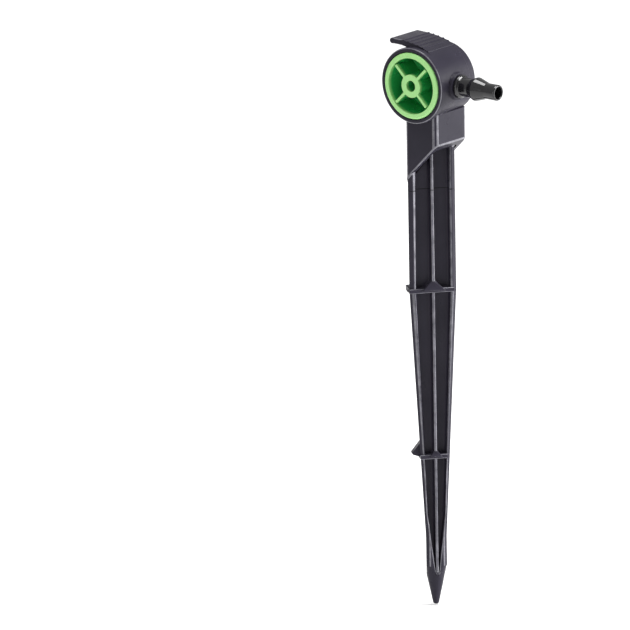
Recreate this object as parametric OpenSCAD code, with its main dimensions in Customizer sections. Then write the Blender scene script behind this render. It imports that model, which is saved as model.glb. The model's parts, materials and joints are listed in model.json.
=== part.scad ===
// Stake-mounted drip emitter: a moulded spike carries a round emitter housing with a push-on
// tube barb, a thumb rest and a take-apart flow insert that meters the water.
// The origin is the spike's tip. +Z runs up the spike, +X along the barb, and the coloured
// insert faces -Y.

/* [Overall] */
// Height of the emitter axis above the spike's tip
axis_h = 120; // [100:1:150]
// Emitter axis, sideways from the spike's axis
housing_x = 1.1; // [-0.5:0.1:1.5]
// Emitter's front face, in front of the spike's axis
face_front = 7.4; // [6.1:0.1:9]

/* [Flow insert] */
// Outer diameter of the insert's visible ring
insert_d = 14.9; // [12.4:0.1:18]
// Height of the ring's face in front of the rim
insert_proud = 0.3; // [0:0.05:1]
// Thickness of the ring behind the rim's face
ring_t = 1.3; // [1:0.05:1.7]
// Step from the ring down to the skirt that carries the labyrinth
ring_step = 0.45; // [0.3:0.05:0.7]
// Width of the ring's face
ring_face = 1.2; // [0.9:0.05:1.5]
// Draft of the front pocket's wall, from its mouth to its floor
pocket_draft = 0.6; // [0.2:0.05:0.8]
// Depth of the front pocket
pocket_depth = 5.4; // [4.5:0.1:6.6]
// Thickness of the pocket's floor
floor_t = 1.5; // [1:0.1:1.8]
// Outer diameter of the hub
hub_d = 5.2; // [4.3:0.1:6.3]
// Diameter of the outlet through the hub
outlet_d = 2.5; // [1.5:0.1:3]
// Thickness of a spoke
spoke_t = 0.6; // [0.4:0.05:1]
// Number of spokes
spoke_count = 4; // [3:1:6]
// Diametral clearance between the insert and the cup
insert_clear = 0.1; // [0.04:0.02:0.18]
// Depth of the water channels in the skirt
channel_depth = 0.45; // [0.3:0.05:0.6]
// Number of labyrinth teeth on each side of the channel
tooth_count = 20; // [10:1:26]

/* [Seal and diaphragm] */
// Cross-section of the O-ring
o_ring_cs = 0.7; // [0.5:0.05:0.85]
// Diametral clearance of the O-ring in its groove and in the cup
o_ring_clear = 0.06; // [0.04:0.02:0.12]
// Clearance round the diaphragm in its recess
diaphragm_clear = 0.65; // [0.3:0.05:1]
// Thickness of the diaphragm
diaphragm_t = 0.8; // [0.5:0.05:1]
// Height of the outlet seat that the diaphragm closes on
seat_h = 0.9; // [0.5:0.05:1.1]
// Thickness of the metering plate
plate_t = 0.8; // [0.6:0.05:1]

/* [Housing] */
// Wall of the rim round the insert
rim_wall = 1.05; // [0.8:0.05:1.4]
// Step from the rim down to the barrel
rim_step = 0.3; // [0.1:0.05:0.4]
// Length of the rim
rim_l = 1.7; // [1.4:0.1:2.2]
// Radius of the rim's front edge
rim_round = 0.5; // [0.2:0.05:0.7]
// Draft of the barrel, from behind the rim to its closed end
barrel_draft = 0.45; // [0:0.05:0.5]
// Thickness of the housing's back wall
back_wall = 2.4; // [1.6:0.1:3.4]

/* [Tube barb] */
// Bore through the barb
barb_bore = 2.6; // [1.6:0.1:2.8]
// Diameter of the shank
shank_d = 4.2; // [3.6:0.1:4.6]
// Diameter of the barb's ridge
ridge_d = 5.4; // [4.8:0.1:6.4]
// Diameter of the tip that starts the tube
tip_d = 3.6; // [3.3:0.1:4.2]
// Length of the tip
tip_l = 3; // [2:0.1:4]
// Length of the cone from the tip to the ridge
cone_l = 2.9; // [2:0.1:4]
// Length of the back slope behind the ridge
ridge_back_l = 1.4; // [0.5:0.1:1.8]
// Length of the barb beyond its boss
barb_l = 10.8; // [9:0.1:14]
// Barb axis, behind the rim's face
barb_y = 6.2; // [6:0.1:7.4]
// Wall of the boss round the barb's root
boss_wall = 0.8; // [0.5:0.05:1.2]

/* [Thumb rest] */
// Thickness of the thumb rest
rest_t = 1.25; // [0.9:0.05:1.6]
// Length of the thumb rest along the barrel
rest_l = 9; // [6:0.1:10]
// Front edge of the thumb rest, behind the rim's face
rest_y = 1.5; // [1.2:0.1:3]
// Reach of the free end from the emitter axis
rest_reach = 6.5; // [5:0.1:9]
// Height that the thumb rest stands off the barrel
rest_lift = 0.8; // [0.5:0.05:1.5]
// Radius of the thumb rest's curve beyond the barrel
rest_radius = 33; // [25:1:45]
// Number of grip ribs
grip_count = 6; // [3:1:7]
// Spacing of the grip ribs
grip_pitch = 1.35; // [1.1:0.05:1.4]

/* [Neck] */
// Barb side of the neck, sideways from the emitter axis
neck_right_x = 4.85; // [4.6:0.05:5.5]
// Drop from the emitter axis to the neck's slanted underside, at the emitter axis
neck_drop = 18.4; // [15:0.1:22]
// Corner chamfer of the neck
neck_chamfer = 0.7; // [0.4:0.05:1.2]
// Cover of the neck over the blade's edges
neck_cover = 0.1; // [0.05:0.05:0.4]
// Wall left round the pockets under the neck
neck_wall = 1.4; // [1:0.1:1.6]
// Depth of the pockets under the neck
pocket_h = 4; // [2:0.1:5]

/* [Blade] */
// Turn of the blade about the spike's axis, from +X towards +Y
blade_turn = 50; // [40:1:60]
// Width of the blade above the upper cross bar
blade_w = 10.6; // [9.6:0.1:12.8]
// Width of the blade at its narrow lower end
blade_low_w = 4.75; // [4.4:0.05:5.8]
// Thickness of the blade across its flanges
blade_t = 4.5; // [4:0.1:5]
// Thickness of the web
web_t = 0.9; // [0.7:0.05:1.4]
// Width of each edge flange above the upper cross bar
flange_w = 1.4; // [1.2:0.05:1.7]
// Width of the centre rib
rib_w = 0.6; // [0.5:0.05:0.9]
// Height above the tip at which the blade stops narrowing
narrow_z = 16; // [14:0.5:24]
// Height of the cone point
point_h = 8.8; // [7:0.1:12]
// Radius of the rounded tip
tip_r = 0.75; // [0.5:0.05:1]
// Height above the tip at which the channels start
channel_z = 6.9; // [6.2:0.1:9]
// Height above the tip at which the channels reach their full share of the width
channel_full_z = 21; // [17:0.5:26]
// Height of the upper cross bar
upper_bar_z = 72.5; // [60:0.5:80]
// Height of the lower cross bar
lower_bar_z = 34.5; // [28:0.5:41]
// Thickness of the cross bars
bar_t = 1; // [0.7:0.05:1.5]
// Reach of the lower bar's fin beyond the blade's edge
fin_reach = 1.7; // [1:0.1:2.5]
// Height of the lower bar's fin
fin_h = 3.4; // [3:0.1:6]

/* [Hidden] */

$fn = 96;
// Overlap that lets a cut pass a face and joined shapes share volume
eps = 0.05;

// Insert, measured behind the rim's face
skirt_d = insert_d - 2 * ring_step;
ring_inner_d = insert_d - 2 * ring_face;
recess_d = ring_inner_d - 2 * pocket_draft;
floor_back = pocket_depth + floor_t;
supply_w = barb_bore + 0.2;
channel_w = 1.9;
channel_y = barb_y + supply_w / 2 + 0.3;

// Diaphragm and metering plate, stacked behind the floor
diaphragm_d = recess_d - 2 * diaphragm_clear;
diaphragm_y = floor_back + seat_h;
plate_y = diaphragm_y + diaphragm_t;
seat_d = hub_d - 0.6;
metering_d = 0.8;
metering_count = 6;
metering_pitch_d = (hub_d + recess_d) / 2 - 1.8;
insert_back = max(plate_y + plate_t, channel_y + channel_w) + 0.7;

// Cup, its counterbore and the barrel round them
cup_d = skirt_d + insert_clear;
cup_depth = insert_back + 0.35;
counterbore_d = insert_d + insert_clear;
counterbore_depth = ring_t + insert_clear / 2;
rim_d = counterbore_d + 2 * rim_wall;
barrel_d = rim_d - 2 * rim_step;
barrel_rear_d = barrel_d - 2 * barrel_draft;
barrel_l = cup_depth + back_wall;

// O-ring and its groove, which shares the O-ring's centre line
o_ring_r = (cup_d - o_ring_clear - o_ring_cs) / 2;
groove_d = 2 * o_ring_r - o_ring_cs - o_ring_clear;
groove_w = o_ring_cs + o_ring_clear + 0.1;
o_ring_y = (ring_t + barb_y - supply_w / 2) / 2 + 0.6;

// Barb, measured from the emitter axis
plug_d = shank_d + 0.4;
plug_x = counterbore_d / 2 + 0.05;
boss_d = plug_d + 2 * boss_wall;
boss_x = barrel_d / 2 + 0.5;
barb_reach = boss_x + barb_l;
ridge_x = barb_reach - tip_l - cone_l;
collar_t = 0.9;
collar_step = 0.3;
lead_w = 0.25;

// Thumb rest
rest_r = barrel_d / 2 + rest_lift;
rest_web_x = 2.5;
// Set-off of the band's centre, which lets the band sink into the barrel above the barb
band_shift = rest_lift + 0.05;
rest_rise = 0.65;
grip_r = 0.3;
grip_sink = 0.14;
grip_x = 3.4;

// Corner facet of the blade's edges and the set-back of their far side
facet = 0.75;
back_step = 0.6;

// Neck footprint, in the spike's frame, round the blade's two front-left corners
corner_n = blade_t / 2 - facet;
blade_front = -(blade_w / 2 * sin(blade_turn) + corner_n * cos(blade_turn));
blade_left = -blade_w / 2 * cos(blade_turn) + corner_n * sin(blade_turn);
blade_back_u = blade_w / 2 - back_step;
neck_front = blade_front - neck_cover;
neck_left = -blade_back_u * cos(blade_turn) - corner_n * sin(blade_turn) - neck_cover;
neck_left_y = -blade_back_u * sin(blade_turn) + corner_n * cos(blade_turn);
neck_right = housing_x + neck_right_x;
neck_back = barrel_l - face_front;
neck_top = axis_h - counterbore_d / 2 + 1;
slant_z = axis_h - neck_drop - housing_x;
deep = 60;

// Blade
taper_h = upper_bar_z - narrow_z;
taper_a = atan((blade_w - blade_low_w) / 2 / taper_h);
blade_top = slant_z + pocket_h + 1;
flange_low_w = 0.65;
// Stand-off of the catches from the centre rib
catch_proud = 0.45;

// Turns local +Z to +Y and sets it on the emitter axis at the rim's face
module on_axis() {
    translate([housing_x, -face_front, axis_h]) rotate([-90, 0, 0]) children();
}

// Turns local +Z to +X and sets it on the barb's axis at the emitter axis
module on_barb() {
    translate([housing_x, barb_y - face_front, axis_h]) rotate([0, 90, 0]) children();
}

// A ring about local Z
module ring(d_out, d_in, y, h) {
    translate([0, 0, y]) difference() {
        cylinder(d = d_out, h = h);
        translate([0, 0, -eps]) cylinder(d = d_in, h = h + 2 * eps);
    }
}

// Barrel with its rolled rim, a small lip behind it and a rounded closed end
module barrel() {
    rim_r = rim_d / 2;
    rear_r = barrel_rear_d / 2;
    rear_round = 1;
    step = 10;
    rotate_extrude() polygon(concat(
        [[0, 0]],
        [for (a = [90 : -step : 0])
            [rim_r - rim_round + rim_round * cos(a), rim_round - rim_round * sin(a)]],
        [[rim_r, rim_l - 0.2], [rim_r - 0.2, rim_l], [barrel_d / 2, rim_l]],
        [for (a = [0 : step : 90])
            [rear_r - rear_round + rear_round * cos(a), barrel_l - rear_round + rear_round * sin(a)]],
        [[0, barrel_l]]
    ));
}

// Grip plate: a band that rises out of the barrel, then a curved plate that runs off to a free end
module thumb_rest() {
    plate_in = rest_radius - rest_t;
    centre = [-rest_reach, rest_r - rest_radius + rest_rise];
    translate([0, 0, rest_y]) {
        intersection() {
            translate([-band_shift, 0, 0]) cylinder(r = rest_r, h = rest_l);
            translate([0, -rest_r - 1, 0]) cube([rest_r, rest_r, rest_l]);
        }
        intersection() {
            translate([centre[0], -centre[1], 0]) difference() {
                cylinder(r = rest_radius, h = rest_l, $fn = 360);
                translate([0, 0, -eps]) cylinder(r = plate_in, h = rest_l + 2 * eps, $fn = 360);
            }
            translate([-rest_reach, -rest_r - 3, 0]) cube([rest_reach + 0.5, 6, rest_l]);
        }
        translate([centre[0], -centre[1] - rest_radius + rest_t / 2, 0]) cylinder(d = rest_t, h = rest_l);
        intersection() {
            translate([centre[0], -centre[1], 0]) cylinder(r = plate_in + eps, h = rest_l, $fn = 360);
            translate([-rest_web_x, -rest_r - 3, 0]) cube([rest_web_x + 1, 5, rest_l]);
        }
        for (i = [0 : grip_count - 1]) {
            x = grip_x - i * grip_pitch;
            on_band = x > 0;
            o = on_band ? [-band_shift, 0] : centre;
            r = (on_band ? rest_r : rest_radius) - grip_sink;
            a = asin((x - o[0]) / r);
            translate([o[0] + r * sin(a), -(o[1] + r * cos(a)), 0]) cylinder(r = grip_r, h = rest_l);
        }
    }
}

// Footprint of the neck, inset all round
module neck_outline(inset) {
    l = neck_left + inset;
    r = neck_right - inset;
    f = neck_front + inset;
    b = neck_back - inset;
    c = neck_chamfer;
    polygon([
        [blade_left - neck_cover + inset, f], [r - c, f], [r, f + c], [r, b - c],
        [r - c, b], [l + c, b], [l, b - c], [l, neck_left_y + inset]
    ]);
}

// Half space above a 45 degree plane that rises towards the barb
module above_slant(z) {
    translate([0, 0, z]) rotate([0, -45, 0]) translate([-deep / 2, -deep / 2, 0]) cube(deep);
}

// Neck with a slanted underside and a pocket cut up into it
module neck() {
    difference() {
        intersection() {
            translate([0, 0, slant_z - deep / 2]) linear_extrude(neck_top - slant_z + deep / 2) neck_outline(0);
            above_slant(slant_z);
        }
        difference() {
            translate([0, 0, slant_z - deep / 2]) linear_extrude(deep) neck_outline(neck_wall);
            above_slant(slant_z + pocket_h * sqrt(2));
        }
    }
}

// Half width of the blade at a height in its taper
function half_at(z) = (blade_low_w + (blade_w - blade_low_w) * (z - narrow_z) / taper_h) / 2;

// Blade section from local X = inner out to half_w, with its outer corners cut back
module edge_section(half_w, inner) {
    h = blade_t / 2;
    polygon([
        [inner, -h], [half_w - facet, -h], [half_w, -h + facet],
        [half_w - back_step, h - facet], [half_w - back_step - facet / 2, h], [inner, h]
    ]);
}

// Upright prism with both edges of the blade
module edge_prism(half_w, z, h) {
    for (side = [0, 1]) mirror([side, 0, 0]) translate([0, 0, z]) linear_extrude(h) edge_section(half_w, -1);
}

// Slab that leans in on one side, to match the blade's taper
module leaning_slab() {
    translate([blade_w / 2, 0, upper_bar_z]) rotate([0, taper_a, 0]) translate([-blade_w / 2, 0, -deep - 30])
        linear_extrude(2 * deep + 30) edge_section(blade_w / 2, -2 * blade_w);
}

// Round cone point that the blade's lower end is trimmed to
module point_envelope(top_z) {
    flare_z = 2 * narrow_z - point_h;
    rotate_extrude() polygon(concat(
        [for (a = [-90 : 10 : 0]) [tip_r * cos(a), tip_r + tip_r * sin(a)]],
        [[blade_low_w / 2 + 0.1, point_h], [blade_w, flare_z], [blade_w, top_z], [0, top_z]]
    ));
}

// Channel on one side of the centre rib, from the web outwards
module channel() {
    low = blade_low_w / 2 - flange_low_w + (channel_full_z - narrow_z) * tan(taper_a);
    full = blade_w / 2 - flange_w;
    translate([0, -web_t / 2, 0]) rotate([90, 0, 0]) linear_extrude(blade_t) polygon([
        [rib_w / 2, channel_z], [low, channel_full_z], [full, upper_bar_z],
        [full, blade_top + eps], [rib_w / 2, blade_top + eps]
    ]);
}

// Blade with a web, two edge flanges and a centre rib, in its own frame
module blade() {
    difference() {
        intersection() {
            union() {
                edge_prism(blade_low_w / 2, -1, narrow_z + 6);
                intersection() {
                    edge_prism(blade_w / 2, 10, blade_top - 10);
                    leaning_slab();
                    mirror([1, 0, 0]) leaning_slab();
                }
            }
            point_envelope(blade_top + 1);
        }
        for (side = [0, 1], face = [0, 1]) mirror([side, 0, 0]) mirror([0, face, 0]) channel();
    }
}

// Plate across the channels, short of the right flange and past the left one
module cross_bar(z, past) {
    w = half_at(z);
    t = blade_t + 0.3;
    translate([-w - past, -t / 2, z - bar_t / 2]) cube([2 * w - flange_w / 2 + past, t, bar_t]);
}

// Catch over the centre rib that widens down to the bar and stands proud of the rib
module catch(z, half_l, h) {
    proud = blade_t / 2 + catch_proud;
    for (face = [0, 1]) mirror([0, face, 0]) intersection() {
        translate([0, 0, z]) rotate([90, 0, 0]) linear_extrude(2 * blade_t) polygon([
            [-half_l, 0], [half_l, 0], [rib_w / 2, h], [-rib_w / 2, h]
        ]);
        translate([-half_l, 0, z]) rotate([90, 0, 90]) linear_extrude(2 * half_l) polygon([
            [0, 0], [-proud, 0], [-proud, bar_t / 2], [-blade_t / 2 + 0.1, h], [0, h]
        ]);
    }
}

// Fin that stands out beside a bar: apex up, with a rounded outer corner
module fin(z, reach, h) {
    w = half_at(z);
    foot = z - bar_t / 2;
    rise = reach * 0.45;
    corner = reach * 0.15;
    translate([0, web_t, 0]) rotate([90, 0, 0]) linear_extrude(2 * web_t) polygon([
        [-w + facet, foot], [-w - reach + corner, foot + rise], [-w - reach, foot + rise + corner],
        [-w - reach, foot + rise + 2 * corner], [-w + facet / 2, z + h], [-w + facet, z + h]
    ]);
}

// Spike, neck, housing and thumb rest, moulded in one piece
module spike_body() {
    color("#26262a") difference() {
        union() {
            rotate([0, 0, blade_turn]) {
                blade();
                for (z = [upper_bar_z, lower_bar_z]) cross_bar(z, 0.1);
                catch(upper_bar_z, 2.6, 2.3);
                catch(lower_bar_z, 1.4, 1.4);
                fin(upper_bar_z, 0.35, 0.9);
                fin(lower_bar_z, fin_reach, fin_h);
            }
            neck();
            on_axis() {
                barrel();
                thumb_rest();
            }
            on_barb() translate([0, 0, boss_x - 4]) cylinder(d = boss_d, h = 4);
        }
        on_axis() {
            translate([0, 0, -eps]) cylinder(d = counterbore_d, h = counterbore_depth + eps);
            cylinder(d = cup_d, h = cup_depth);
            translate([0, 0, -eps]) cylinder(d1 = counterbore_d + 2 * lead_w, d2 = counterbore_d, h = lead_w + eps);
        }
        on_barb() {
            cylinder(d = barb_bore, h = boss_x + 1);
            translate([0, 0, plug_x]) cylinder(d = plug_d, h = boss_x);
        }
    }
}

// Push-in spigot with one ridge and a tapered lead for the tube
module inlet_barb() {
    wall_r = barb_bore / 2;
    edge = 0.25;
    mouth = 0.2;
    collar_r = plug_d / 2 + collar_step;
    color("#101012") on_barb() rotate_extrude() polygon([
        [wall_r, plug_x],
        [plug_d / 2, plug_x],
        [plug_d / 2, boss_x],
        [collar_r, boss_x],
        [collar_r, boss_x + collar_t - edge],
        [collar_r - edge, boss_x + collar_t],
        [shank_d / 2, boss_x + collar_t],
        [shank_d / 2, ridge_x - ridge_back_l],
        [ridge_d / 2, ridge_x],
        [tip_d / 2, ridge_x + cone_l],
        [tip_d / 2, barb_reach - mouth],
        [tip_d / 2 - mouth, barb_reach],
        [wall_r + mouth / 2, barb_reach],
        [wall_r, barb_reach - mouth]
    ]);
}

// Labyrinth: a channel round the skirt with teeth reaching in from both sides by turns
module labyrinth_cut() {
    r = skirt_d / 2;
    step = 180 / tooth_count;
    tooth_l = channel_w * 0.62;
    tooth_w = PI * skirt_d / tooth_count * 0.2;
    difference() {
        ring(skirt_d + 2, skirt_d - 2 * channel_depth, channel_y, channel_w);
        for (i = [1 : 2 * tooth_count - 1]) {
            foot = i % 2 == 0 ? -eps : channel_w - tooth_l;
            rotate([0, 0, i * step]) translate([r - 2 * channel_depth, -tooth_w / 2, channel_y + foot])
                cube([3 * channel_depth, tooth_w, tooth_l + eps]);
        }
        translate([0, -0.4, channel_y - eps]) cube([r + 2, 0.8, channel_w + 2 * eps]);
    }
}

// Take-apart insert: ring, spokes, hub with the outlet, and a skirt that holds the labyrinth
module flow_insert() {
    back_chamfer = 0.4;
    face_round = 0.3;
    wall_in = ring_inner_d / 2;
    floor_in = recess_d / 2;
    color("#7ee36f") on_axis() difference() {
        union() {
            difference() {
                rotate_extrude() polygon([
                    [0, pocket_depth], [floor_in, pocket_depth],
                    [wall_in, 0], [wall_in, -insert_proud],
                    [insert_d / 2 - face_round, -insert_proud], [insert_d / 2, face_round - insert_proud],
                    [insert_d / 2, ring_t], [skirt_d / 2, ring_t],
                    [skirt_d / 2, insert_back - back_chamfer], [skirt_d / 2 - back_chamfer, insert_back],
                    [recess_d / 2, insert_back], [recess_d / 2, floor_back], [0, floor_back]
                ]);
                ring(skirt_d + 1, groove_d, o_ring_y - groove_w / 2, groove_w);
                ring(skirt_d + 1, skirt_d - 2 * channel_depth, barb_y - supply_w / 2, supply_w);
                labyrinth_cut();
                rotate([0, 0, 6]) translate([0, -0.5, channel_y - 0.4]) cube([skirt_d, 1, 0.6]);
                rotate([0, 0, -6]) translate([skirt_d / 2 - channel_depth, -0.5, channel_y + channel_w - 0.2])
                    cube([skirt_d, 1, insert_back]);
            }
            translate([0, 0, -insert_proud]) cylinder(d = hub_d, h = pocket_depth + insert_proud + eps);
            for (i = [0 : spoke_count - 1]) rotate([0, 0, 45 + i * 360 / spoke_count])
                translate([hub_d / 2 - 0.3, -spoke_t / 2, -insert_proud])
                    cube([floor_in - hub_d / 2 + 0.6, spoke_t, pocket_depth + insert_proud + eps]);
            translate([0, 0, floor_back - eps]) cylinder(d = seat_d, h = seat_h + eps);
        }
        translate([0, 0, -insert_proud - eps]) cylinder(d = outlet_d, h = insert_back + insert_proud);
    }
}

// Seal between the insert's skirt and the cup
module insert_o_ring() {
    color("#3a3a3a") on_axis() translate([0, 0, o_ring_y])
        rotate_extrude() translate([o_ring_r, 0]) circle(d = o_ring_cs, $fn = 32);
}

// Silicone disc that closes down on the outlet seat as the pressure rises
module diaphragm() {
    color("#e8e4da") on_axis() translate([0, 0, diaphragm_y]) cylinder(d = diaphragm_d, h = diaphragm_t);
}

// Drilled plate that snaps in behind the diaphragm
module metering_plate() {
    color("#4a4a4e") on_axis() difference() {
        translate([0, 0, plate_y]) cylinder(d = recess_d, h = plate_t);
        for (i = [0 : metering_count - 1]) rotate([0, 0, i * 360 / metering_count])
            translate([metering_pitch_d / 2, 0, plate_y - eps]) cylinder(d = metering_d, h = plate_t + 2 * eps);
    }
}

spike_body();
inlet_barb();
flow_insert();
insert_o_ring();
diaphragm();
metering_plate();
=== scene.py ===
# Drip emitter on a ground spike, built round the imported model. Lengths are in metres.
import bpy
import json
import math
from mathutils import Matrix, Vector

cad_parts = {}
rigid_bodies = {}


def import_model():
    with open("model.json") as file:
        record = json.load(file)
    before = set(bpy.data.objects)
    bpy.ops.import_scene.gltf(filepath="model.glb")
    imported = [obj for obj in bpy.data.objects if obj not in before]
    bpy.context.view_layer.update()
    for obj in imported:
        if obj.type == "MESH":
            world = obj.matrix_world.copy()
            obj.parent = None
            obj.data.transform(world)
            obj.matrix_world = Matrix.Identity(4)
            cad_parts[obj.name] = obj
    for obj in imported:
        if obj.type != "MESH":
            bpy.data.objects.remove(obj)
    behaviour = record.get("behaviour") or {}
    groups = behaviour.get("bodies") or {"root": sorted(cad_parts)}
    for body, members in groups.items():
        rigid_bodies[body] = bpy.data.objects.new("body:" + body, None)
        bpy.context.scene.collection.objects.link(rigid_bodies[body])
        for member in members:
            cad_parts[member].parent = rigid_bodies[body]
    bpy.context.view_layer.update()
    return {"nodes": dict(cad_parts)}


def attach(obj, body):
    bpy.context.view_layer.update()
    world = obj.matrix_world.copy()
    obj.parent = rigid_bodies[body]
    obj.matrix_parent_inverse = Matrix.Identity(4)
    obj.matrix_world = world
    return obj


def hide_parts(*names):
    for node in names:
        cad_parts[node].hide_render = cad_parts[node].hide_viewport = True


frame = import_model()
mm = 0.001

cameraSet = {
    "turn": 39.7,          # degrees round from straight on, towards the barb
    "rise": 14.8,          # degrees above level
    "roll": -0.95,         # degrees, the spike leans a touch to the right on its way down
    "distance": 3.0,
    "frameWidth": 0.1399,  # width of the view at the spike
    "aimLeft": 0.0269,     # the spike stands right of the middle by this much
    "aimUp": 0.0641,       # the middle of the view is this far above the tip
    "sensor": 36,
    "clip": (0.01, 20),
}


def addCamera(s):
    turn, rise = math.radians(s["turn"]), math.radians(s["rise"])
    away = Vector((math.sin(turn) * math.cos(rise), -math.cos(turn) * math.cos(rise), math.sin(rise)))
    pose = away.to_track_quat("Z", "Y").to_matrix() @ Matrix.Rotation(math.radians(s["roll"]), 3, "Z")
    aim = pose @ Vector((-s["aimLeft"], s["aimUp"], 0))
    bpy.ops.object.camera_add()
    camera = bpy.context.object
    camera.name = "studioCamera"
    camera.matrix_world = Matrix.Translation(aim + away * s["distance"]) @ pose.to_4x4()
    camera.data.sensor_width = s["sensor"]
    camera.data.lens = s["sensor"] * s["distance"] / s["frameWidth"]
    camera.data.clip_start, camera.data.clip_end = s["clip"]
    bpy.context.scene.camera = camera


bpy.ops.object.select_all(action="DESELECT")
addCamera(cameraSet)
print("camera placed")


# Materials. Patterns run on Object coordinates, in metres.
mouldSet = {    # what all the plastics share
    "cloudDetail": 3, "cloudBand": (0.35, 0.65),
    "wearDetail": 6, "wearBand": (0.3, 0.7),
    "grainDetail": 2, "grainDepth": 0.00004,
    "sinkDetail": 1, "sinkDepth": 0.0003,
}


def addNoise(tree, place, scale, detail):
    noise = tree.nodes.new("ShaderNodeTexNoise")
    noise.inputs["Scale"].default_value = scale
    noise.inputs["Detail"].default_value = detail
    tree.links.new(place.outputs["Object"], noise.inputs["Vector"])
    return noise.outputs["Fac"]


def addBump(tree, height, strength, distance):
    bump = tree.nodes.new("ShaderNodeBump")
    bump.inputs["Strength"].default_value = strength
    bump.inputs["Distance"].default_value = distance
    tree.links.new(height, bump.inputs["Height"])
    return bump


def addMix(tree, factor):
    mix = tree.nodes.new("ShaderNodeMix")
    mix.data_type = "RGBA"
    tree.links.new(factor, mix.inputs["Factor"])
    return mix


def newPlastic(name, s):
    m = mouldSet
    mat = bpy.data.materials.new(name)
    mat.use_nodes = True
    tree = mat.node_tree
    nodes, links = tree.nodes, tree.links
    skin = nodes["Principled BSDF"]
    skin.inputs["Specular IOR Level"].default_value = s["specular"]
    skin.inputs["Coat Weight"].default_value = s.get("coat", 0)
    skin.inputs["Coat Roughness"].default_value = s.get("coatRough", 0.1)
    skin.inputs["Subsurface Weight"].default_value = s.get("glow", 0)
    skin.inputs["Subsurface Radius"].default_value = s.get("glowDepth", (0.001, 0.001, 0.001))
    skin.inputs["Subsurface Scale"].default_value = 1
    place = nodes.new("ShaderNodeTexCoord")
    axes = nodes.new("ShaderNodeSeparateXYZ")
    links.new(place.outputs["Object"], axes.inputs["Vector"])

    # broad, faint cloudiness of the colour
    tint = nodes.new("ShaderNodeValToRGB")
    for stop, position, key in zip(tint.color_ramp.elements, m["cloudBand"], ("colourLow", "colour")):
        stop.position = position
        stop.color = (*s[key], 1)
    links.new(addNoise(tree, place, s["cloudScale"], m["cloudDetail"]), tint.inputs["Fac"])
    colour = tint.outputs["Color"]
    if "paintedLitFace" in s:
        # painted light and shade: paler on the front face, where light falls, than down in the pocket,
        # where shade falls
        depth = nodes.new("ShaderNodeMapRange")
        depth.inputs["From Min"].default_value, depth.inputs["From Max"].default_value = s["paintedLitFrom"]
        links.new(axes.outputs["Y"], depth.inputs["Value"])
        paintedLitMix = addMix(tree, depth.outputs["Result"])
        paintedLitMix.inputs["A"].default_value = (*s["paintedLitFace"], 1)
        links.new(colour, paintedLitMix.inputs["B"])
        colour = paintedLitMix.outputs["Result"]
    if "mouldJoint" in s:
        # hairline where the two halves of the mould's core meet
        line = nodes.new("ShaderNodeMath")
        line.operation = "COMPARE"
        line.inputs[1].default_value, line.inputs[2].default_value = s["mouldJoint"]
        links.new(axes.outputs["Z"], line.inputs[0])
        dark = addMix(tree, line.outputs["Value"])
        dark.inputs["B"].default_value = (*s["jointColour"], 1)
        links.new(colour, dark.inputs["A"])
        colour = dark.outputs["Result"]
    links.new(colour, skin.inputs["Base Color"])

    # uneven gloss, from handling and from the mould
    gloss = nodes.new("ShaderNodeMapRange")
    gloss.inputs["From Min"].default_value, gloss.inputs["From Max"].default_value = m["wearBand"]
    gloss.inputs["To Min"].default_value = s["rough"] - s["roughSpread"]
    gloss.inputs["To Max"].default_value = s["rough"] + s["roughSpread"]
    links.new(addNoise(tree, place, s["wearScale"], m["wearDetail"]), gloss.inputs["Value"])
    links.new(gloss.outputs["Result"], skin.inputs["Roughness"])

    # fine grain of the mould, over a slight waviness where the plastic sank as it cooled
    waves = addNoise(tree, place, s["sinkScale"], m["sinkDetail"])
    broad = addBump(tree, waves, s["sink"], m["sinkDepth"])
    grain = addNoise(tree, place, s["grainScale"], m["grainDetail"])
    fine = addBump(tree, grain, s["grain"], m["grainDepth"])
    links.new(broad.outputs["Normal"], fine.inputs["Normal"])
    links.new(fine.outputs["Normal"], skin.inputs["Normal"])
    return mat


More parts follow.
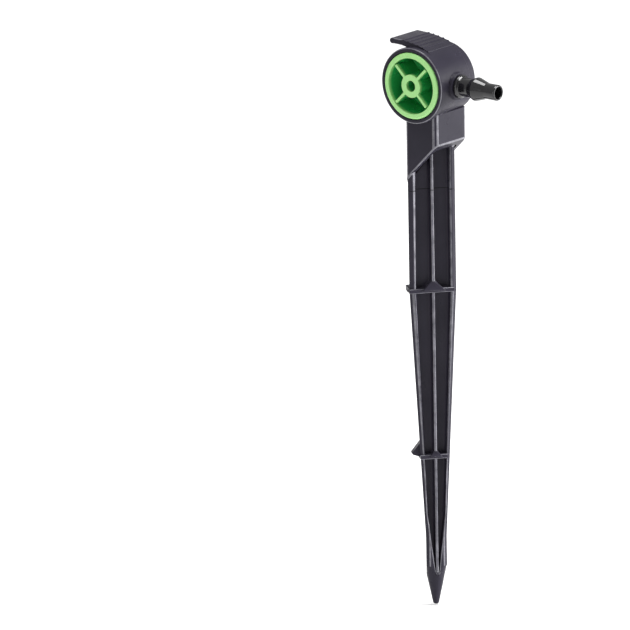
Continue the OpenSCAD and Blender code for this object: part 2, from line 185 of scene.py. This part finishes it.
# Colours run between colourLow and colour. A larger scale is a finer pattern. Grain and sink
# are how strong the fine and the broad unevenness are.
plasticSet = {
    "satinBlack": {
        "mouldJoint": (0.0953, 0.00009), "jointColour": (0.003, 0.003, 0.004),
        "colour": (0.0245, 0.0222, 0.0325), "colourLow": (0.0170, 0.0155, 0.0235), "cloudScale": 60,
        "specular": 0.105, "rough": 0.33, "roughSpread": 0.07, "wearScale": 260,
        "grain": 0.25, "grainScale": 5200, "sink": 0.25, "sinkScale": 160,
    },
    # painted highlight: a paler, glossier grey for the rounded edges and the rim line that catch the
    # light
    "paintedHighlightBlack": {
        "mouldJoint": (0.0953, 0.00012), "jointColour": (0.006, 0.006, 0.008),
        "colour": (0.150, 0.146, 0.170), "colourLow": (0.070, 0.068, 0.082), "cloudScale": 420,
        "specular": 0.5, "rough": 0.28, "roughSpread": 0.07, "wearScale": 500,
        "grain": 0.2, "grainScale": 5200, "sink": 0.1, "sinkScale": 160,
    },
    "glossBlack": {
        "colour": (0.009, 0.009, 0.010), "colourLow": (0.006, 0.006, 0.007), "cloudScale": 90,
        "specular": 0.4, "rough": 0.10, "roughSpread": 0.03, "wearScale": 300,
        "coat": 0.3, "coatRough": 0.06, "grain": 0.05, "grainScale": 4000, "sink": 0.25, "sinkScale": 220,
    },
    "leafGreen": {
        "colour": (0.020, 0.34, 0.075), "colourLow": (0.014, 0.29, 0.060), "cloudScale": 120,
        # painted light: a paler green on the front face, fading into the plain green as painted shade in
        # the pocket
        "paintedLitFace": (0.29, 0.58, 0.20), "paintedLitFrom": (-0.0075, -0.0066),
        "specular": 0.5, "rough": 0.28, "roughSpread": 0.05, "wearScale": 320,
        "glow": 0.04, "glowDepth": (0.0003, 0.0008, 0.0004),
        "grain": 0.1, "grainScale": 5200, "sink": 0.15, "sinkScale": 260,
    },
    "sealRubber": {
        "colour": (0.030, 0.030, 0.031), "colourLow": (0.022, 0.022, 0.023), "cloudScale": 200,
        "specular": 0.35, "rough": 0.55, "roughSpread": 0.06, "wearScale": 500,
        "grain": 0.3, "grainScale": 6000, "sink": 0.1, "sinkScale": 300,
    },
    "milkySilicone": {
        "colour": (0.72, 0.70, 0.64), "colourLow": (0.66, 0.64, 0.57), "cloudScale": 180,
        "specular": 0.4, "rough": 0.42, "roughSpread": 0.05, "wearScale": 400,
        "glow": 0.25, "glowDepth": (0.0010, 0.0009, 0.0007),
        "grain": 0.15, "grainScale": 5000, "sink": 0.1, "sinkScale": 250,
    },
    "darkGrey": {
        "colour": (0.065, 0.065, 0.070), "colourLow": (0.050, 0.050, 0.055), "cloudScale": 150,
        "specular": 0.4, "rough": 0.45, "roughSpread": 0.06, "wearScale": 400,
        "grain": 0.3, "grainScale": 5200, "sink": 0.15, "sinkScale": 260,
    },
}
plastics = {name: newPlastic(name, s) for name, s in plasticSet.items()}
print("materials made")


copySet = {
    "weld": 0.000002,   # points closer than this are one
    "flat": 0.1,        # degrees, faces that meet at less are one
    "round": 0.985,     # how nearly a face has to look outwards to be shaded as round
}


# Copies a CAD node, welds its triangles and joins the flat ones into whole faces
def takeCopy(node, name, slots=1):
    bpy.ops.object.select_all(action="DESELECT")
    source = frame["nodes"][node]
    source.select_set(True)
    bpy.context.view_layer.objects.active = source
    bpy.ops.object.duplicate()
    piece = bpy.context.object
    piece.name = name
    bpy.ops.object.parent_clear(type="CLEAR_KEEP_TRANSFORM")
    bpy.ops.object.mode_set(mode="EDIT")
    bpy.ops.mesh.select_all(action="SELECT")
    bpy.ops.mesh.remove_doubles(threshold=copySet["weld"])
    bpy.ops.mesh.dissolve_limited(angle_limit=math.radians(copySet["flat"]))
    bpy.ops.object.mode_set(mode="OBJECT")
    while len(piece.material_slots) < slots:
        bpy.ops.object.material_slot_add()
    return piece


# Angle between the two faces at each edge, in degrees: above zero where the edge stands out
def edgeAngles(mesh):
    sides = {}
    for face in mesh.polygons:
        for key in face.edge_keys:
            sides.setdefault(key, []).append((face.normal.copy(), face.center.copy()))
    angles = {}
    for edge in mesh.edges:
        pair = sides.get(tuple(sorted(edge.vertices)), [])
        angles[edge.index] = 0
        if len(pair) == 2:
            (normalA, centreA), (normalB, centreB) = pair
            out = normalA.dot(centreB - centreA) < 0
            angles[edge.index] = math.degrees(normalA.angle(normalB, 0)) * (1 if out else -1)
    return angles


# Cuts a piece across at some heights, so that a long edge can change its rounding there
def splitAt(piece, heights):
    bpy.ops.object.mode_set(mode="EDIT")
    for height in heights:
        bpy.ops.mesh.select_all(action="SELECT")
        bpy.ops.mesh.bisect(plane_co=(0, 0, height), plane_no=(0, 0, 1))
    bpy.ops.object.mode_set(mode="OBJECT")


# Selects some of a mesh's edges and nothing else
def selectEdges(mesh, members):
    for parts in (mesh.edges, mesh.vertices, mesh.polygons):
        for part in parts:
            part.select = False
    for i in members:
        mesh.edges[i].select = True


# Gives each edge the rounding that a rule names, then rounds them all with one bevel
def roundEdges(piece, rule, widest, segments, highlightSlot=-1):
    mesh = piece.data
    angles = edgeAngles(mesh)
    groups = {}
    for edge in mesh.edges:
        a, b = (mesh.vertices[v].co for v in edge.vertices)
        radius = rule((a + b) / 2, (b - a).normalized(), (b - a).length, angles[edge.index])
        if radius:
            groups.setdefault(radius, []).append(edge.index)
    print(piece.name, {round(radius / mm, 2): len(members) for radius, members in groups.items()})
    for radius, members in groups.items():
        selectEdges(mesh, members)
        bpy.ops.object.mode_set(mode="EDIT")
        bpy.ops.mesh.select_mode(type="EDGE")
        bpy.ops.transform.edge_bevelweight(value=radius / widest)
        bpy.ops.object.mode_set(mode="OBJECT")
    bevel = piece.modifiers.new("softEdges", "BEVEL")
    bevel.limit_method = "WEIGHT"
    bevel.width = widest
    bevel.segments = segments
    bevel.use_clamp_overlap = False
    # the new rounded faces take the painted-highlight plastic in this slot, where one is given
    bevel.material = highlightSlot
    bpy.ops.object.modifier_apply(modifier=bevel.name)
    bpy.ops.object.mode_set(mode="EDIT")
    bpy.ops.mesh.select_all(action="SELECT")
    bpy.ops.transform.edge_bevelweight(value=-1)    # the next rounding starts afresh
    bpy.ops.object.mode_set(mode="OBJECT")


# Shades the round faces about an axis as a true cylinder, past the holes that break them up
def shadeRound(piece, centre, axis, low, high):
    mesh = piece.data
    normals = [Vector(corner.vector) for corner in mesh.corner_normals]
    for face in mesh.polygons:
        for i in face.loop_indices:
            arm = mesh.vertices[mesh.loops[i].vertex_index].co - centre
            arm -= axis * arm.dot(axis)
            if low < arm.length < high and face.normal.dot(arm.normalized()) > copySet["round"]:
                normals[i] = arm.normalized()
    mesh.normals_split_custom_set(normals)


# Smooths a rounded copy, gives it its plastics and lets it stand in for its CAD node
def finishPiece(piece, node, body, slotPlastics, smooth):
    bpy.ops.object.select_all(action="DESELECT")
    piece.select_set(True)
    bpy.context.view_layer.objects.active = piece
    bpy.ops.object.shade_smooth_by_angle(angle=math.radians(smooth))
    even = piece.modifiers.new("evenShading", "WEIGHTED_NORMAL")
    even.keep_sharp = True
    bpy.ops.object.modifier_apply(modifier=even.name)
    for i, name in enumerate(slotPlastics):
        piece.material_slots[i].material = plastics[name]
    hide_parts(node)
    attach(piece, body)
    print(piece.name, len(piece.data.polygons), "faces")


spikeSet = {
    # blade, measured from its own middle line
    "turn": 50,              # degrees, the blade's flat side from the barb's direction
    "bladeTop": 0.101,
    "webFace": 0.00045,
    "flangeFace": 0.00225,
    "ribHalf": 0.0003,
    "splits": (0.010, 0.0205),
    "troughRound": 0.0006,
    "lowTroughRound": 0.0002,
    "ribRound": 0.00026,
    "flangeRound": 0.00038,
    "lowFlangeRound": 0.0002,
    "innerTip": 0.0022,      # edges nearer the middle than this are a flange's inner ones, at the tip
    "innerBar": 0.0045,      # and at the upper bar
    "upperBar": 0.0725,
    "barFace": 0.0024,
    "barRound": 0.00014,

    # neck, by its edges' height and slant
    "neck": (0.096, 0.1125),
    "slant": 0.05,           # how near its lower edges are to 45 degrees
    "neckRound": 0.0003,

    # thumb rest, above a height, by its front edge
    "restFoot": 0.1235,
    "restFront": -0.0059,
    "restThick": 0.0045,     # past this the band thins out, too thin to be rounded
    "restRound": 0.0002,

    # rim, above a height, round the emitter's axis
    "axis": (0.0011, 0, 0.120),
    "rimFoot": 0.111,
    "rimRear": -0.0057,
    "rimFront": -0.0069,     # the front rounding starts here
    "rimInside": 0.0080,
    "paintedHighlightFacing": (0.45, 0.88),  # how far its faces look forwards where the painted highlight goes
    "barrel": (0.0074, 0.0095),  # faces this far from the axis are shaded as one cylinder

    # all of it
    "otherRound": 0.00012,
    "otherAngles": (50, 120),
    "bent": 24,              # degrees, edges flatter than this stay as they are
    "shortest": 0.0004,      # edges shorter than this stay sharp
    "near": 0.0001,          # edges this close to a face are on it
    "nearer": 0.00005,
    "upright": 0.9,          # an edge is upright with more than this share of its direction upwards
    "square": 0.1,           # and square to an axis with less than this share along it
    "segments": 4,
    "otherSegments": 2,
    "smooth": 40,
}


# How far a point is from the blade's middle, across its width and out from its web
def bladePlace(middle):
    turn = math.radians(spikeSet["turn"])
    across = abs(middle.x * math.cos(turn) + middle.y * math.sin(turn))
    depth = abs(middle.y * math.cos(turn) - middle.x * math.sin(turn))
    return across, depth


# Fillets along the floors of the blade's channels
def troughRule(middle, along, length, angle):
    s = spikeSet
    across, depth = bladePlace(middle)
    low, high = s["splits"]
    if angle > -s["bent"] or abs(along.z) < s["upright"]:
        return 0
    if abs(depth - s["webFace"]) > s["near"] or not low < middle.z < s["bladeTop"]:
        return 0
    return s["lowTroughRound"] if middle.z < high else s["troughRound"]


# The edges that stand out and catch the light, rounded and given the painted highlight: ribs, flanges and
# the neck's corners
def brightRule(middle, along, length, angle):
    s = spikeSet
    if length < s["shortest"] or angle < s["bent"]:
        return 0
    across, depth = bladePlace(middle)
    onBlade = middle.z < s["bladeTop"]
    upright = abs(along.z) > s["upright"]
    if onBlade and upright and abs(depth - s["flangeFace"]) < s["near"]:
        if across < s["ribHalf"] + s["near"]:
            return s["ribRound"]
        inner = s["innerTip"] + (s["innerBar"] - s["innerTip"]) * min(1, middle.z / s["upperBar"])
        width = s["flangeRound"] if middle.z > s["splits"][1] else s["lowFlangeRound"]
        return width if across < inner else 0
    if onBlade and abs(along.z) < s["square"] and abs(depth - s["barFace"]) < s["nearer"]:
        return s["barRound"]
    onRest = middle.z > s["restFoot"] and abs(middle.y - s["restFront"]) < s["nearer"]
    if onRest and abs(along.y) < s["square"] and middle.x < s["restThick"]:
        return s["restRound"]
    slanted = abs(abs(along.z) - abs(along.x)) < s["slant"]
    low, high = s["neck"]
    return s["neckRound"] if low < middle.z < high and (upright or slanted) else 0


# Every other edge that stands out, but for the rim's rear edge: its ledge is too narrow
def plainRule(middle, along, length, angle):
    s = spikeSet
    if middle.z > s["rimFoot"] and abs(middle.y - s["rimRear"]) < s["nearer"]:
        return 0
    low, high = s["otherAngles"]
    return s["otherRound"] if length > s["shortest"] and low < angle < high else 0


# Paints a highlight along the middle of the rim's front rounding, in the paler plastic of slot 1
def paintRimHighlight(piece, s):
    low, high = s["paintedHighlightFacing"]
    for face in piece.data.polygons:
        arm = face.center - Vector(s["axis"])
        arm.y = 0
        front = face.center.y < s["rimFront"] and arm.length > s["rimInside"]
        if front and low < -face.normal.y < high:
            face.material_index = 1


spikeBody = takeCopy("spike_body", "spikeMoulding", slots=2)
splitAt(spikeBody, spikeSet["splits"])
roundEdges(spikeBody, troughRule, spikeSet["troughRound"], spikeSet["segments"])
# the rounded bright edges take slot 1, the painted-highlight plastic
roundEdges(spikeBody, brightRule, spikeSet["flangeRound"], spikeSet["segments"], highlightSlot=1)
roundEdges(spikeBody, plainRule, spikeSet["otherRound"], spikeSet["otherSegments"])
bodyPlastics = ("satinBlack", "paintedHighlightBlack")
finishPiece(spikeBody, "spike_body", "spike", bodyPlastics, spikeSet["smooth"])
paintRimHighlight(spikeBody, spikeSet)
shadeRound(spikeBody, Vector(spikeSet["axis"]), Vector((0, 1, 0)), *spikeSet["barrel"])


barbSet = {
    "round": 0.00018,
    "bent": 15,         # degrees, edges flatter than this stay as they are
    "lengthways": 0.5,  # and so do edges that run along the barb
    "segments": 4,
    "smooth": 50,
}


def barbRule(middle, along, length, angle):
    s = barbSet
    return s["round"] if abs(angle) > s["bent"] and abs(along.x) < s["lengthways"] else 0


barb = takeCopy("inlet_barb", "tubeBarb")
roundEdges(barb, barbRule, barbSet["round"], barbSet["segments"])
finishPiece(barb, "inlet_barb", "spike", ("glossBlack",), barbSet["smooth"])


insertSet = {
    "round": 0.00012,
    "bent": 30,        # degrees, edges flatter than this stay as they are
    "rear": -0.001,    # and so do edges behind this
    "segments": 3,
    "smooth": 40,
}


def insertRule(middle, along, length, angle):
    s = insertSet
    return s["round"] if abs(angle) > s["bent"] and middle.y < s["rear"] else 0


insert = takeCopy("flow_insert", "greenInsert")
roundEdges(insert, insertRule, insertSet["round"], insertSet["segments"])
finishPiece(insert, "flow_insert", "insert", ("leafGreen",), insertSet["smooth"])


# The seal, disc and plate keep their CAD shape
innerSet = {"insert_o_ring": "sealRubber", "diaphragm": "milkySilicone", "metering_plate": "darkGrey"}
for node, plastic in innerSet.items():
    part = frame["nodes"][node]
    part.data.materials.clear()
    part.data.materials.append(plastics[plastic])
print("pieces made")


lightSet = {
    "sky": 0.62,
    "target": (0, 0, 0.075),
    "top": {"at": (0.00, 0.05, 1.00), "size": (0.5, 0.5), "power": 8.0},
    "front": {"at": (0.10, -0.95, 0.20), "size": (0.14, 0.5), "power": 1.5},
    "right": {"at": (0.70, 0.42, 0.25), "size": (0.35, 0.6), "power": 15.0},
}
floorSet = {"size": 12, "height": -0.0002, "colour": (0.9, 0.9, 0.9), "rough": 0.9}


def addSoftbox(name, s, target):
    bpy.ops.object.light_add(type="AREA", location=s["at"])
    lamp = bpy.context.object
    lamp.name = name
    lamp.data.shape = "RECTANGLE"
    lamp.data.size, lamp.data.size_y = s["size"]
    lamp.data.energy = s["power"]
    lamp.rotation_euler = (Vector(s["at"]) - target).to_track_quat("Z", "Y").to_euler()


def addSky(strength):
    world = bpy.data.worlds.new("studioSky")
    bpy.context.scene.world = world
    world.use_nodes = True
    back = world.node_tree.nodes["Background"]
    back.inputs["Strength"].default_value = strength
    back.inputs["Color"].default_value = (1, 1, 1, 1)


def addFloor(s):
    bpy.ops.mesh.primitive_plane_add(size=s["size"], location=(0, 0, s["height"]))
    floor = bpy.context.object
    floor.name = "studioFloor"
    mat = bpy.data.materials.new("paleFloor")
    mat.use_nodes = True
    skin = mat.node_tree.nodes["Principled BSDF"]
    skin.inputs["Base Color"].default_value = (*s["colour"], 1)
    skin.inputs["Roughness"].default_value = s["rough"]
    floor.data.materials.append(mat)


bpy.context.scene.view_settings.view_transform = "Standard"
for lampName in ("top", "front", "right"):
    addSoftbox(lampName + "Softbox", lightSet[lampName], Vector(lightSet["target"]))
addSky(lightSet["sky"])
addFloor(floorSet)
print("studio lit")
